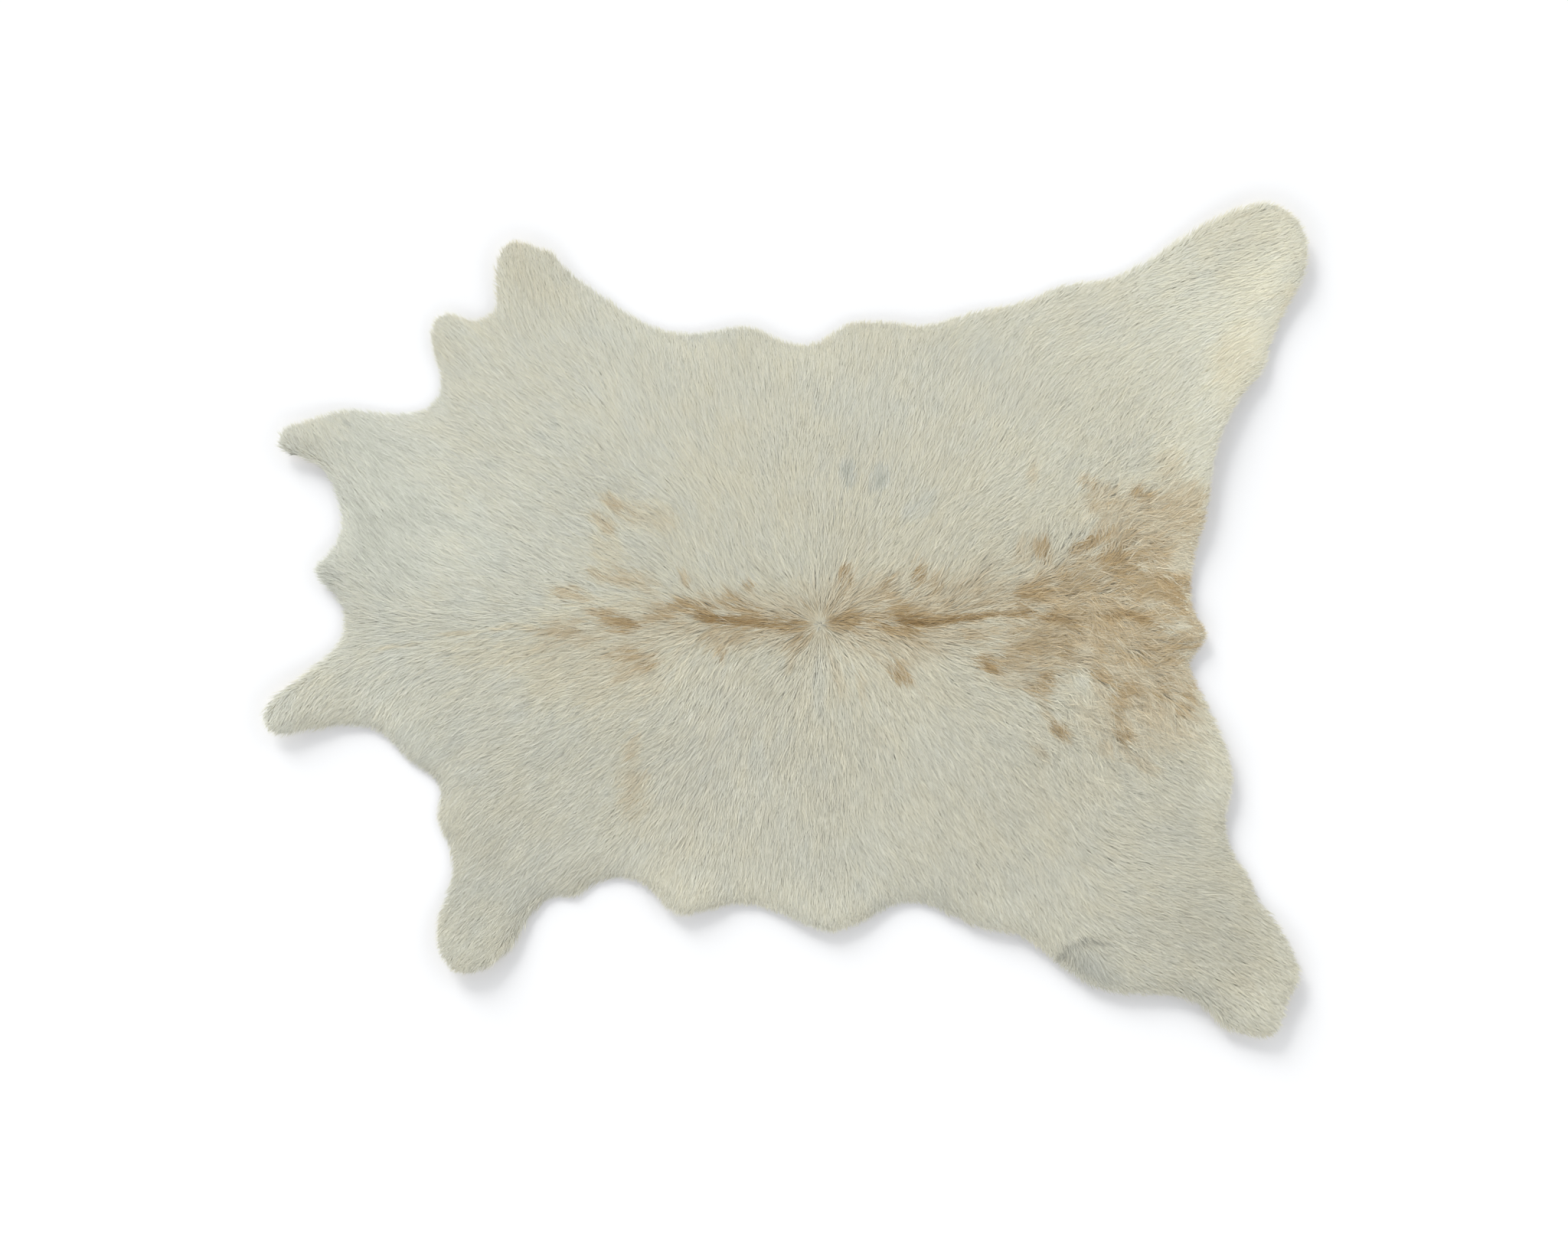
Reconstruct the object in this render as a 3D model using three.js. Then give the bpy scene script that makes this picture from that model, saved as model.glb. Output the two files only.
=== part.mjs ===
// A calf hide with its hair on, laid out flat on the floor as a rug, hair side up.
// Millimetres, +Z up. +X runs along the back towards the tail, +Y is one flank and -Y the other.
// The origin is on the floor, under the middle of the hide's box.
// The hide is one closed sheet: leather below, the lying coat above, and hair tips that reach past the leather.
import * as THREE from 'three';

// Driving sizes of the sheet
const SKIN_INSET = 5; // how far the leather's cut edge lies inside the hair tips
const TIP_HEIGHT = 1.6; // height of the outermost hair tips above the flesh side
const SHOULDER_INSET = 4; // where the coat has turned up over the edge
const SHOULDER_HEIGHT = 3.3; // height of the coat there
const FULL_COAT_INSET = 26; // where the coat reaches its full depth
const BACK_DEPTH = 5.4; // leather and lying hair along the back
const FLANK_DEPTH = 4.3; // leather and lying hair out on the belly and the legs
const BACK_HALF_WIDTH = 330; // from the line of the back to where the hide is thin
const EDGE_RISE_REACH = 85; // how far in from the edge the hide starts to stand off the floor

// Mesh steps
const RIM_STEP = 10.5;
const LATTICE_STEP = 23;
const LATTICE_CLEARANCE = 13; // from a lattice point to the coat's shoulder

// The edge as the hair tips draw it, clockwise seen from above, from the notch between the split neck's lobes.
// Each point is [x along the back, y across it].
const EDGE = {
  upperNeckLobe: [
    [-460, 0], [-468, 22], [-492, 50], [-471, 76], [-463, 105], [-471, 133], [-484, 156],
    [-522, 171], [-531, 183], [-525, 198], [-500, 207],
  ],
  upperNeckSide: [[-455, 219], [-425, 215], [-400, 214], [-374, 219], [-359, 243]],
  upperForeleg: [
    [-370, 295], [-360, 319], [-322, 312], [-302, 324], [-303, 350], [-300, 380], [-286, 394],
    [-266, 390.5], [-257, 386], [-244, 384.5], [-228, 364], [-200, 344], [-150, 310],
  ],
  upperBelly: [
    [-122, 300], [-92, 298], [-55, 304], [-34, 304], [-10, 293], [12, 286], [34, 289], [66, 308],
    [100, 310], [145, 306.5], [180, 315.5], [200, 321.5], [250, 332], [287, 348.5], [335, 355.5],
  ],
  upperHindleg: [
    [370, 371], [410, 397.5], [463, 427], [500, 435.5], [513, 432], [534, 416], [544, 390],
    [540, 358], [521, 322], [506, 289], [497, 257], [475, 234], [458, 204], [446, 170],
  ],
  rumpAndTail: [
    [441, 125], [435, 98], [424, 58], [422.5, 20], [430, 0], [439.5, -15], [430, -31], [420.5, -46],
    [437, -84], [453, -119], [464, -148], [464, -178], [458, -202], [459, -224], [467, -247],
  ],
  lowerHindleg: [
    [484, -270], [492, -293], [516, -320], [529, -348], [536.5, -371], [523, -398], [516, -423],
    [507, -435], [485, -435], [455, -426], [432, -403], [405, -393], [350, -390],
  ],
  lowerBelly: [
    [318, -382], [285, -360], [243, -329], [210, -324], [170, -308], [146, -296.5], [115, -297],
    [80, -315], [48, -325.5], [20, -317.5], [-15, -303], [-50, -296.5], [-85, -304], [-107, -308.5],
    [-123, -301], [-139, -283], [-162, -270],
  ],
  lowerForeleg: [
    [-200, -275], [-219, -292.5], [-238, -287], [-259, -302], [-288, -346], [-306, -362], [-337, -370],
    [-358, -352], [-364, -320], [-348, -270], [-350, -238], [-364, -208], [-358, -182],
  ],
  lowerNeckLobe: [
    [-370, -162], [-389, -150], [-425, -116], [-455, -110], [-500, -116.5], [-534, -120],
    [-546, -104], [-539, -84], [-498, -52], [-466, -25],
  ],
};

// Where the edge stands off the floor: the place, how far the rise spreads along the edge, and its height
const EDGE_RISES = [
  { place: 'upper neck corner', x: -528, y: 182, spread: 60, height: 6 },
  { place: 'tip of the upper neck lobe', x: -490, y: 50, spread: 40, height: 3 },
  { place: 'lower neck corner', x: -545, y: -104, spread: 70, height: 7 },
  { place: 'upper foreleg', x: -290, y: 392, spread: 60, height: 7 },
  { place: 'upper elbow', x: -362, y: 310, spread: 40, height: 3 },
  { place: 'upper belly', x: -40, y: 304, spread: 60, height: 2.5 },
  { place: 'upper flank', x: 120, y: 308, spread: 80, height: 3 },
  { place: 'upper hind leg', x: 535, y: 405, spread: 95, height: 8 },
  { place: 'side of the upper hind leg', x: 460, y: 205, spread: 80, height: 8 },
  { place: 'upper rump', x: 438, y: 100, spread: 70, height: 6 },
  { place: 'stub of the tail', x: 440, y: -15, spread: 40, height: 5 },
  { place: 'lower rump', x: 465, y: -160, spread: 70, height: 7 },
  { place: 'lower hind leg', x: 525, y: -400, spread: 90, height: 8 },
  { place: 'inside of the lower hind leg', x: 360, y: -390, spread: 70, height: 5 },
  { place: 'lower flank', x: 230, y: -326, spread: 70, height: 4 },
  { place: 'lower belly', x: 50, y: -325, spread: 60, height: 5 },
  { place: 'lower brisket', x: -107, y: -308, spread: 50, height: 6 },
  { place: 'lower foreleg', x: -335, y: -368, spread: 65, height: 8 },
];

// The flesh side bears flat on the floor between these places, and stands a little off it outside them
const BEARING = [
  { place: 'root of the lower foreleg', x: -270, y: -200 },
  { place: 'root of the lower hind leg', x: 397, y: -300 },
  { place: 'root of the upper hind leg', x: 410, y: 290 },
  { place: 'root of the upper foreleg', x: -240, y: 262 },
];
const BEARING_MARGIN = 12; // how far inside the line from one place to the next the flesh side is flat
const FLOOR_CLEARANCE = 0.3; // how far off the floor it stands just outside
const SPREAD_SLOPE = 0.003; // how it goes on rising from there
const GREATEST_CLEARANCE = 0.9;

// Low relief of the coat, each form a soft band from (x1, y1) to (x2, y2): its half width and its height
const RELIEF = [
  { form: 'ridge of the back, shoulders', x1: -400, y1: 6, x2: -20, y2: -4, halfWidth: 26, height: 0.5 },
  { form: 'ridge of the back, loins', x1: 90, y1: -4, x2: 400, y2: -6, halfWidth: 30, height: 0.6 },
  { form: 'parting left of the whorl', x1: -116, y1: 4, x2: 0, y2: -4, halfWidth: 6, height: -0.5 },
  { form: 'parting right of the whorl', x1: 70, y1: -5, x2: 154, y2: -4, halfWidth: 6, height: -0.5 },
  { form: 'hollow of the whorl', x1: 35, y1: -5, x2: 40, y2: -5, halfWidth: 13, height: -1.6 },
  { form: 'fold in the lower flank', x1: 284, y1: -352, x2: 316, y2: -331, halfWidth: 7, height: 1.5 },
  { form: 'fold running into the leg', x1: 316, y1: -331, x2: 336, y2: -335, halfWidth: 6, height: 1.1 },
  { form: 'hollow below the fold', x1: 312, y1: -352, x2: 344, y2: -366, halfWidth: 13, height: -1.2 },
  { form: 'crease across the lower shoulder', x1: -330, y1: -120, x2: -230, y2: -200, halfWidth: 16, height: 0.5 },
  { form: 'swell of the upper thigh', x1: 330, y1: 250, x2: 450, y2: 360, halfWidth: 60, height: 0.7 },
  { form: 'swell of the lower thigh', x1: 380, y1: -240, x2: 470, y2: -370, halfWidth: 60, height: 0.7 },
];
const FINE_RELIEF = RELIEF.filter((band) => band.halfWidth < 15); // needs points of its own in the mesh

const COAT_COLOUR = 0xcfcbb4;
const COAT_ROUGHNESS = 0.8;

function smoothRamp(value) {
  return THREE.MathUtils.smoothstep(value, 0, 1);
}

// Evenly spaced points of the edge, centred on the hide's box
function makeRim() {
  const corners = Object.values(EDGE).flat().map(([x, y]) => new THREE.Vector3(x, y, 0));
  const curve = new THREE.CatmullRomCurve3(corners, true, 'centripetal');
  curve.arcLengthDivisions = corners.length * 20;
  const count = Math.round(curve.getLength() / RIM_STEP);
  const points = curve.getSpacedPoints(count).slice(0, count);
  const middle = new THREE.Box3().setFromPoints(points).getCenter(new THREE.Vector3());
  return { middle, points: points.map((point) => new THREE.Vector2(point.x - middle.x, point.y - middle.y)) };
}

// The rim moved into the hide by one distance
function insetRim(rim, distance) {
  return rim.map((point, i) => {
    const before = rim.at(i - 1);
    const after = rim[(i + 1) % rim.length];
    const along = after.clone().sub(before).normalize();
    return new THREE.Vector2(point.x + along.y * distance, point.y - along.x * distance);
  });
}

function distanceToSegment(x, y, ax, ay, bx, by) {
  const lengthSquared = (bx - ax) ** 2 + (by - ay) ** 2;
  const share = THREE.MathUtils.clamp(((x - ax) * (bx - ax) + (y - ay) * (by - ay)) / lengthSquared, 0, 1);
  return Math.hypot(x - ax - share * (bx - ax), y - ay - share * (by - ay));
}

function distanceToRim(rim, x, y) {
  let nearest = Infinity;
  rim.forEach((point, i) => {
    const next = rim[(i + 1) % rim.length];
    nearest = Math.min(nearest, distanceToSegment(x, y, point.x, point.y, next.x, next.y));
  });
  return nearest;
}

function isInside(rim, x, y) {
  let inside = false;
  rim.forEach((point, i) => {
    const next = rim[(i + 1) % rim.length];
    const crosses = point.y > y !== next.y > y;
    if (crosses && x < point.x + ((y - point.y) / (next.y - point.y)) * (next.x - point.x)) inside = !inside;
  });
  return inside;
}

// How far a point lies inside the lines between the bearing places, or outside them as a negative number
function depthInBearing(x, y) {
  return Math.min(...BEARING.map((from, i) => {
    const to = BEARING[(i + 1) % BEARING.length];
    return ((to.x - from.x) * (y - from.y) - (to.y - from.y) * (x - from.x)) / Math.hypot(to.x - from.x, to.y - from.y);
  }));
}

// How far the flesh side stands off the floor away from the edge
function clearanceAt(x, y) {
  if (BEARING.some((place) => Math.hypot(x - place.x, y - place.y) < 0.01)) return 0;
  const depth = depthInBearing(x, y);
  if (depth > BEARING_MARGIN) return 0;
  return Math.min(GREATEST_CLEARANCE, FLOOR_CLEARANCE + SPREAD_SLOPE * Math.max(0, -depth));
}

// How much further the edge rises, in soft places along it
function riseAt(x, y, toRim) {
  const atEdge = 1 - smoothRamp(toRim / EDGE_RISE_REACH);
  if (atEdge === 0) return 0;
  const height = EDGE_RISES.reduce((sum, rise) => {
    const away = Math.hypot(x - rise.x, y - rise.y) / rise.spread;
    return sum + rise.height * Math.exp(-away * away);
  }, 0);
  return atEdge * atEdge * height;
}

// Depth of leather and coat together, with the coat's low relief
function depthAt(x, y, toRim) {
  const outwards = smoothRamp(Math.abs(y) / BACK_HALF_WIDTH);
  const full = THREE.MathUtils.lerp(BACK_DEPTH, FLANK_DEPTH, outwards);
  const fromShoulder = smoothRamp((toRim - SHOULDER_INSET) / (FULL_COAT_INSET - SHOULDER_INSET));
  const relief = RELIEF.reduce((sum, band) => {
    const away = distanceToSegment(x, y, band.x1, band.y1, band.x2, band.y2) / band.halfWidth;
    return sum + band.height * Math.exp(-away * away);
  }, 0);
  return THREE.MathUtils.lerp(SHOULDER_HEIGHT, full + relief, fromShoulder);
}

// Points inside the shoulder: the bearing places, and a triangular lattice, closer along the coat's narrow forms
function makeInnerPoints(rim, shoulder, middle) {
  const reach = new THREE.Box2().setFromPoints(rim);
  const rowStep = LATTICE_STEP * Math.sqrt(3) / 2;
  const points = BEARING.map((place) => new THREE.Vector2(place.x - middle.x, place.y - middle.y));
  const addPoint = (x, y, clearance) => {
    if (!isInside(shoulder, x, y) || distanceToRim(shoulder, x, y) < LATTICE_CLEARANCE) return;
    if (points.some((point) => Math.hypot(point.x - x, point.y - y) < clearance)) return;
    points.push(new THREE.Vector2(x, y));
  };
  for (const band of FINE_RELIEF) {
    const steps = Math.max(1, Math.round(Math.hypot(band.x2 - band.x1, band.y2 - band.y1) / band.halfWidth / 2));
    const across = new THREE.Vector2(band.y1 - band.y2, band.x2 - band.x1).normalize();
    for (let step = 0; step <= steps; step += 1) {
      for (const side of [0, -1, 1]) {
        const x = THREE.MathUtils.lerp(band.x1, band.x2, step / steps) + across.x * side * band.halfWidth;
        const y = THREE.MathUtils.lerp(band.y1, band.y2, step / steps) + across.y * side * band.halfWidth;
        addPoint(x - middle.x, y - middle.y, band.halfWidth * 0.7);
      }
    }
  }
  for (let row = 0; reach.min.y + row * rowStep < reach.max.y; row += 1) {
    const shift = (row % 2) * LATTICE_STEP / 2;
    for (let x = reach.min.x + shift; x < reach.max.x; x += LATTICE_STEP) {
      addPoint(x, reach.min.y + row * rowStep, LATTICE_STEP * 0.6);
    }
  }
  return points;
}

function circleThrough(a, b, c) {
  const twiceArea = 2 * ((b.x - a.x) * (c.y - a.y) - (b.y - a.y) * (c.x - a.x));
  const toB = (b.x - a.x) ** 2 + (b.y - a.y) ** 2;
  const toC = (c.x - a.x) ** 2 + (c.y - a.y) ** 2;
  const x = ((c.y - a.y) * toB - (b.y - a.y) * toC) / twiceArea;
  const y = ((b.x - a.x) * toC - (c.x - a.x) * toB) / twiceArea;
  return { x: a.x + x, y: a.y + y, radius: Math.hypot(x, y) };
}

// Delaunay triangles of the points, by adding them one at a time. Each faces up.
function triangulate(points) {
  const far = 1e5;
  const all = [...points];
  all.push(new THREE.Vector2(-far, -far), new THREE.Vector2(far, -far), new THREE.Vector2(0, far));
  const makeTriangle = (a, b, c) => ({ corners: [a, b, c], circle: circleThrough(all[a], all[b], all[c]) });
  let triangles = [makeTriangle(points.length, points.length + 1, points.length + 2)];
  points.forEach((point, index) => {
    const edges = new Map();
    const kept = [];
    for (const triangle of triangles) {
      const { corners, circle } = triangle;
      if (Math.hypot(point.x - circle.x, point.y - circle.y) >= circle.radius) {
        kept.push(triangle);
        continue;
      }
      corners.forEach((from, i) => {
        const to = corners[(i + 1) % 3];
        if (!edges.delete(`${to},${from}`)) edges.set(`${from},${to}`, [from, to]);
      });
    }
    triangles = kept.concat([...edges.values()].map(([from, to]) => makeTriangle(from, to, index)));
  });
  return triangles.map((triangle) => triangle.corners).filter((corners) => Math.max(...corners) < points.length);
}

function makeHide() {
  const { middle, points: rim } = makeRim();
  const skinEdge = insetRim(rim, SKIN_INSET);
  const shoulder = insetRim(rim, SHOULDER_INSET);
  const inner = makeInnerPoints(rim, shoulder, middle);
  const sheet = triangulate([...shoulder, ...inner]).filter((corners) => {
    const centre = corners.reduce((sum, corner) => {
      return sum.add(corner < rim.length ? shoulder[corner] : inner[corner - rim.length]);
    }, new THREE.Vector2()).divideScalar(3);
    return isInside(shoulder, centre.x, centre.y);
  });

  const positions = [];
  const addVertex = (point, toRim, heightAt) => {
    const x = point.x + middle.x;
    const y = point.y + middle.y;
    positions.push(point.x, point.y, clearanceAt(x, y) + riseAt(x, y, toRim) + heightAt(x, y, toRim));
  };
  const count = rim.length;
  skinEdge.forEach((point) => addVertex(point, SKIN_INSET, () => 0));
  inner.forEach((point) => addVertex(point, distanceToRim(rim, point.x, point.y), () => 0));
  rim.forEach((point) => addVertex(point, 0, () => TIP_HEIGHT));
  shoulder.forEach((point) => addVertex(point, SHOULDER_INSET, () => SHOULDER_HEIGHT));
  inner.forEach((point) => addVertex(point, distanceToRim(rim, point.x, point.y), depthAt));

  const tips = count + inner.length;
  const top = tips + count;
  const faces = [];
  sheet.forEach(([a, b, c]) => faces.push(a, c, b, a + top, b + top, c + top));
  for (let i = 0; i < count; i += 1) {
    const next = (i + 1) % count;
    faces.push(i, tips + next, next, i, tips + i, tips + next);
    faces.push(tips + i, top + next, tips + next, tips + i, top + i, top + next);
  }
  const geometry = new THREE.BufferGeometry();
  geometry.setAttribute('position', new THREE.Float32BufferAttribute(positions, 3));
  geometry.setIndex(faces);
  geometry.computeVertexNormals();

  const coat = new THREE.MeshStandardMaterial({ color: COAT_COLOUR, roughness: COAT_ROUGHNESS, metalness: 0 });
  const hide = new THREE.Mesh(geometry, coat);
  hide.name = 'calf_hide';
  return hide;
}

const rug = new THREE.Group();
rug.add(makeHide());

export default rug;
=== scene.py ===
"""A calf hide laid out as a rug: its leather, its brushed coat and a plain stage.

Every length in the code is in metres and the tables of places are in millimetres,
with x along the back towards the tail and y across it, as in the CAD sheet.
"""
import functools
import math
from collections import namedtuple

import bmesh
import bpy
import numpy as np
from bpy.props import FloatProperty, FloatVectorProperty, IntProperty, PointerProperty
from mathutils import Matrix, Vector
from mathutils.bvhtree import BVHTree


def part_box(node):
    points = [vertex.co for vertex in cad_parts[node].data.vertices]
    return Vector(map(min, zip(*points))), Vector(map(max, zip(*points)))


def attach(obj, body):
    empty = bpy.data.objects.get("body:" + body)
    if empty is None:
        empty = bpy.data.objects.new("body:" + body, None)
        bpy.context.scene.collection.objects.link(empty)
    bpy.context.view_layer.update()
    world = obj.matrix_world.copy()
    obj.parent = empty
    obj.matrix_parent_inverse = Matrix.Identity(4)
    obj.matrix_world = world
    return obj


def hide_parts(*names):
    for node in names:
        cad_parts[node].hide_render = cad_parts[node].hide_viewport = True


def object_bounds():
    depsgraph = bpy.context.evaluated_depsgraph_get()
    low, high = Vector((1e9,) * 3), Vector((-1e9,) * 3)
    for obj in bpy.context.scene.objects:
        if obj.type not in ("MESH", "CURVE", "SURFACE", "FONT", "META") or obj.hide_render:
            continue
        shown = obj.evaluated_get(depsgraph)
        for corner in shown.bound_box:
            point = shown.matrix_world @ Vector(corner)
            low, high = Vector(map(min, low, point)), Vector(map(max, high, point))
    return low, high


bl_info = {
    "name": "Calf hide rug",
    "version": (1, 0, 0),
    "blender": (4, 5, 0),
    "location": "View3D > Sidebar > Hide rug",
    "description": "Makes the leather, the coat and the stage of a calf hide rug on its CAD sheet",
    "category": "Object",
}

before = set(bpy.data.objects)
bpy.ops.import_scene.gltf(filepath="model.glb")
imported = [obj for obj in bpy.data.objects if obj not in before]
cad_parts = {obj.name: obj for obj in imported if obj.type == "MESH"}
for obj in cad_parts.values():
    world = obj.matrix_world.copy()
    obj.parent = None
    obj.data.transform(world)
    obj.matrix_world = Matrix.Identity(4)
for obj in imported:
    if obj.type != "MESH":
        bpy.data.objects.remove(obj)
CAD_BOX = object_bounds()
SHEET = "calf_hide"
MM = 0.001


def linear(hex_colour):
    """An sRGB hex colour as linear red, green and blue."""
    channels = [int(hex_colour[i:i + 2], 16) / 255 for i in (1, 3, 5)]
    return tuple(c / 12.92 if c <= 0.04045 else ((c + 0.055) / 1.055) ** 2.4 for c in channels)


# Which way the coat is brushed at a place, in degrees from +x towards +y, and how far that reaches
Stroke = namedtuple("Stroke", "place x y heading reach")
BRUSHING = [Stroke(*row) for row in (
    ("upper shoulder", -290, 110, 149, 75),
    ("upper withers", -200, 105, 146, 45),
    ("upper neck", -440, 105, 122, 55),
    ("upper neck corner", -500, 190, 112, 45),
    ("upper side of the crest", -345, 42, 158, 45),
    ("crest by the neck", -412, 52, 130, 32),
    ("neck tip", -480, 48, 160, 22),
    ("lower side of the crest", -310, -70, 208, 55),
    ("lower withers", -235, -110, 214, 60),
    ("lower shoulder", -200, -165, 228, 55),
    ("lower neck", -410, -105, 246, 50),
    ("lower neck corner", -520, -92, 258, 45),
    ("lower foreleg", -325, -300, 232, 75),
    ("lower shoulder point", -340, -215, 236, 50),
    ("lower girth", -130, -285, 254, 50),
    ("lower ribs", 0, -210, 268, 80),
    ("lower belly", 40, -305, 270, 60),
    ("lower loin", 190, -190, 297, 60),
    ("lower flank", 235, -290, 294, 55),
    ("before the thigh", 300, -180, 298, 40),
    ("flank line", 298, -270, 287, 28),
    ("lower thigh, front", 350, -245, 341, 40),
    ("lower thigh", 395, -300, 345, 60),
    ("lower hip", 375, -165, 322, 35),
    ("lower buttock", 440, -165, 318, 35),
    ("lower thigh, back", 445, -250, 355, 40),
    ("lower shank", 480, -350, 328, 55),
    ("lower hock", 500, -410, 318, 45),
    ("below the fold, front", 290, -360, 228, 15),
    ("below the fold", 318, -372, 282, 18),
    ("below the fold, back", 348, -376, 312, 18),
    ("above the fold", 322, -322, 318, 20),
    ("beside the fold", 385, -356, 334, 30),
    ("lower rump", 400, -95, 302, 36),
    ("lower hip, front", 328, -66, 308, 34),
    ("parting over the rump", 315, -6, 334, 26),
    ("dock", 425, -18, 358, 32),
    ("upper rump", 408, 45, 335, 40),
    ("upper rump whirl", 372, 112, 28, 22),
    ("upper hip", 325, 85, 48, 28),
    ("upper loin", 268, 78, 82, 24),
    ("upper flank", 305, 150, 52, 42),
    ("upper thigh, front", 345, 205, 62, 42),
    ("upper thigh", 350, 275, 36, 45),
    ("upper edge of the thigh", 300, 325, 24, 45),
    ("upper shank", 425, 345, 10, 60),
    ("upper hock", 510, 395, 18, 50),
    ("upper thigh, back", 430, 235, 48, 45),
    ("upper buttock", 415, 150, 48, 35),
    ("upper belly", 190, 245, 70, 60),
    ("upper edge of the belly", 195, 292, 30, 32),
    ("upper ribs", 90, 170, 80, 55),
    ("before the whorl, above", -72, 72, 103, 42),
    ("before the whorl, below", -72, -68, 254, 42),
    ("behind the whorl, above", 168, 64, 70, 36),
    ("behind the whorl, below", 126, -72, 294, 38),
    ("lower edge of the ribs", 100, -245, 316, 38),
    ("upper girth", -100, 270, 93, 60),
    ("upper arm", -150, 210, 120, 50),
    ("upper foreleg", -255, 335, 98, 40),
    ("upper foreleg tip", -285, 375, 94, 30),
    ("upper elbow", -335, 285, 134, 40),
    ("upper arm, front", -255, 245, 139, 50),
)]
WHORL = (37.7, -4.9)

# Where the coat curls in short waves, and how much, from 0 to 1
Curl = namedtuple("Curl", "place x y reach amount")
CURLS = [Curl(*row) for row in (
    ("rump", 350, 30, 90, 0.85),
    ("lower rump", 365, -90, 65, 0.8),
    ("upper hip", 350, 105, 55, 0.6),
    ("loins", 260, 10, 60, 0.4),
    ("lower loin", 270, -100, 60, 0.5),
    ("upper thigh", 345, 200, 60, 0.35),
    ("lower hip", 330, -170, 50, 0.4),
    ("back behind the whorl", 120, 10, 60, 0.25),
    ("back before the whorl", -60, 10, 60, 0.25),
    ("withers", -240, -60, 70, 0.3),
    ("upper withers", -190, 100, 60, 0.3),
)]

# Where the coat lies sleekest, and the share of its painted streaks of light and shade taken away there
SLEEK = [Curl(*row) for row in (
    ("upper hind leg", 450, 315, 120, 0.65),
    ("upper ribs", 60, 190, 110, 0.35),
    ("lower girth", -60, -200, 110, 0.3),
    ("lower neck", -380, -80, 110, 0.25),
)]

# Broad shades of the coat. Tone runs from 0, cool grey, over 0.5, cream, to 1, brown, and light is a
# share of brightness that paints light and shade into the colour: the upper side lighter and the
# lower side darker, partly as painted light and shade from the key light at the upper left, a painted
# shadow in the fold and a painted highlight on its ridge, besides the coat's own darker specks. Along
# and across are half sizes, and turn is the angle of along.
Shade = namedtuple("Shade", "place x y along across turn tone light")
SHADES = [Shade(*row) for row in (
    ("fore half", -360, 60, 260, 300, 0, -0.09, 0.01),
    ("upper neck", -440, 130, 120, 100, -20, -0.07, 0.11),
    ("upper side of the crest", -350, 60, 110, 60, 0, 0, 0.06),
    ("neck tip", -478, 50, 26, 24, 0, -0.06, -0.02),
    ("lower neck", -430, -75, 120, 50, 20, 0.02, 0.02),
    ("upper hind leg", 470, 320, 120, 150, 60, -0.02, 0.13),
    # Painted light on the edge that slopes away from the key light
    ("outer edge of the upper hind leg", 458, 215, 30, 130, -18, 0, 0.06),
    ("upper flank", 300, 240, 160, 80, 20, -0.01, 0.02),
    ("upper belly", -60, 270, 200, 60, 0, -0.01, 0.03),
    ("upper foreleg", -280, 345, 45, 65, 0, 0.06, 0),
    ("upper elbow", -330, 280, 60, 60, 0, -0.02, 0.03),
    ("loins", 230, 60, 110, 80, 0, 0.03, -0.04),
    ("along the spine", 90, 0, 210, 110, 0, 0.05, -0.01),
    ("upper belly, cool", 130, 235, 90, 70, 0, -0.06, 0),
    ("lower neck corner", -540, -100, 50, 30, 20, -0.07, 0),
    ("upper shoulder", -300, 140, 80, 80, 0, 0, 0.03),
    ("upper hock", 512, 350, 24, 60, 0, 0, 0.03),
    # Painted shade, with some of the coat's own darker tone: darker on the lower side, away from the key
    # light
    ("lower side", 60, -200, 440, 150, -4, -0.01, -0.12),
    ("lower back", 90, -60, 110, 60, 0, 0.02, -0.04),
    ("lower flank", 180, -290, 150, 60, -8, -0.01, -0.09),
    ("lower hind leg", 450, -350, 120, 110, -40, 0.02, -0.17),
    ("lower loin and thigh", 290, -160, 190, 110, -8, 0.02, -0.09),
    ("lower thigh", 372, -262, 60, 60, 0, 0.02, 0.06),
    ("lower foreleg", -330, -290, 110, 100, 40, -0.01, -0.09),
    # A fold drawn in paint: painted shadow below it and in its crease, a painted highlight on its ridge,
    # and greyer hair below it
    ("below the fold", 320, -364, 34, 20, -25, -0.11, -0.19),
    ("fold, front end", 290, -350, 10, 2.6, 44, -0.04, -0.34),
    ("fold, middle", 308, -338, 12, 2.6, 20, -0.04, -0.38),
    ("fold, back end", 328, -337, 12, 2.4, -4, -0.04, -0.3),
    ("ridge of the fold", 306, -331, 24, 5, 22, 0, 0.07),
    ("speck on the crest", -351, -36, 3.2, 2, 24, -0.25, -0.34),
    ("speck on the upper neck", -455, 204, 4, 2.6, 0, -0.2, -0.2),
    ("speck at the neck corner", -515, 172, 4, 3.4, 0, -0.3, -0.38),
)]

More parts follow.
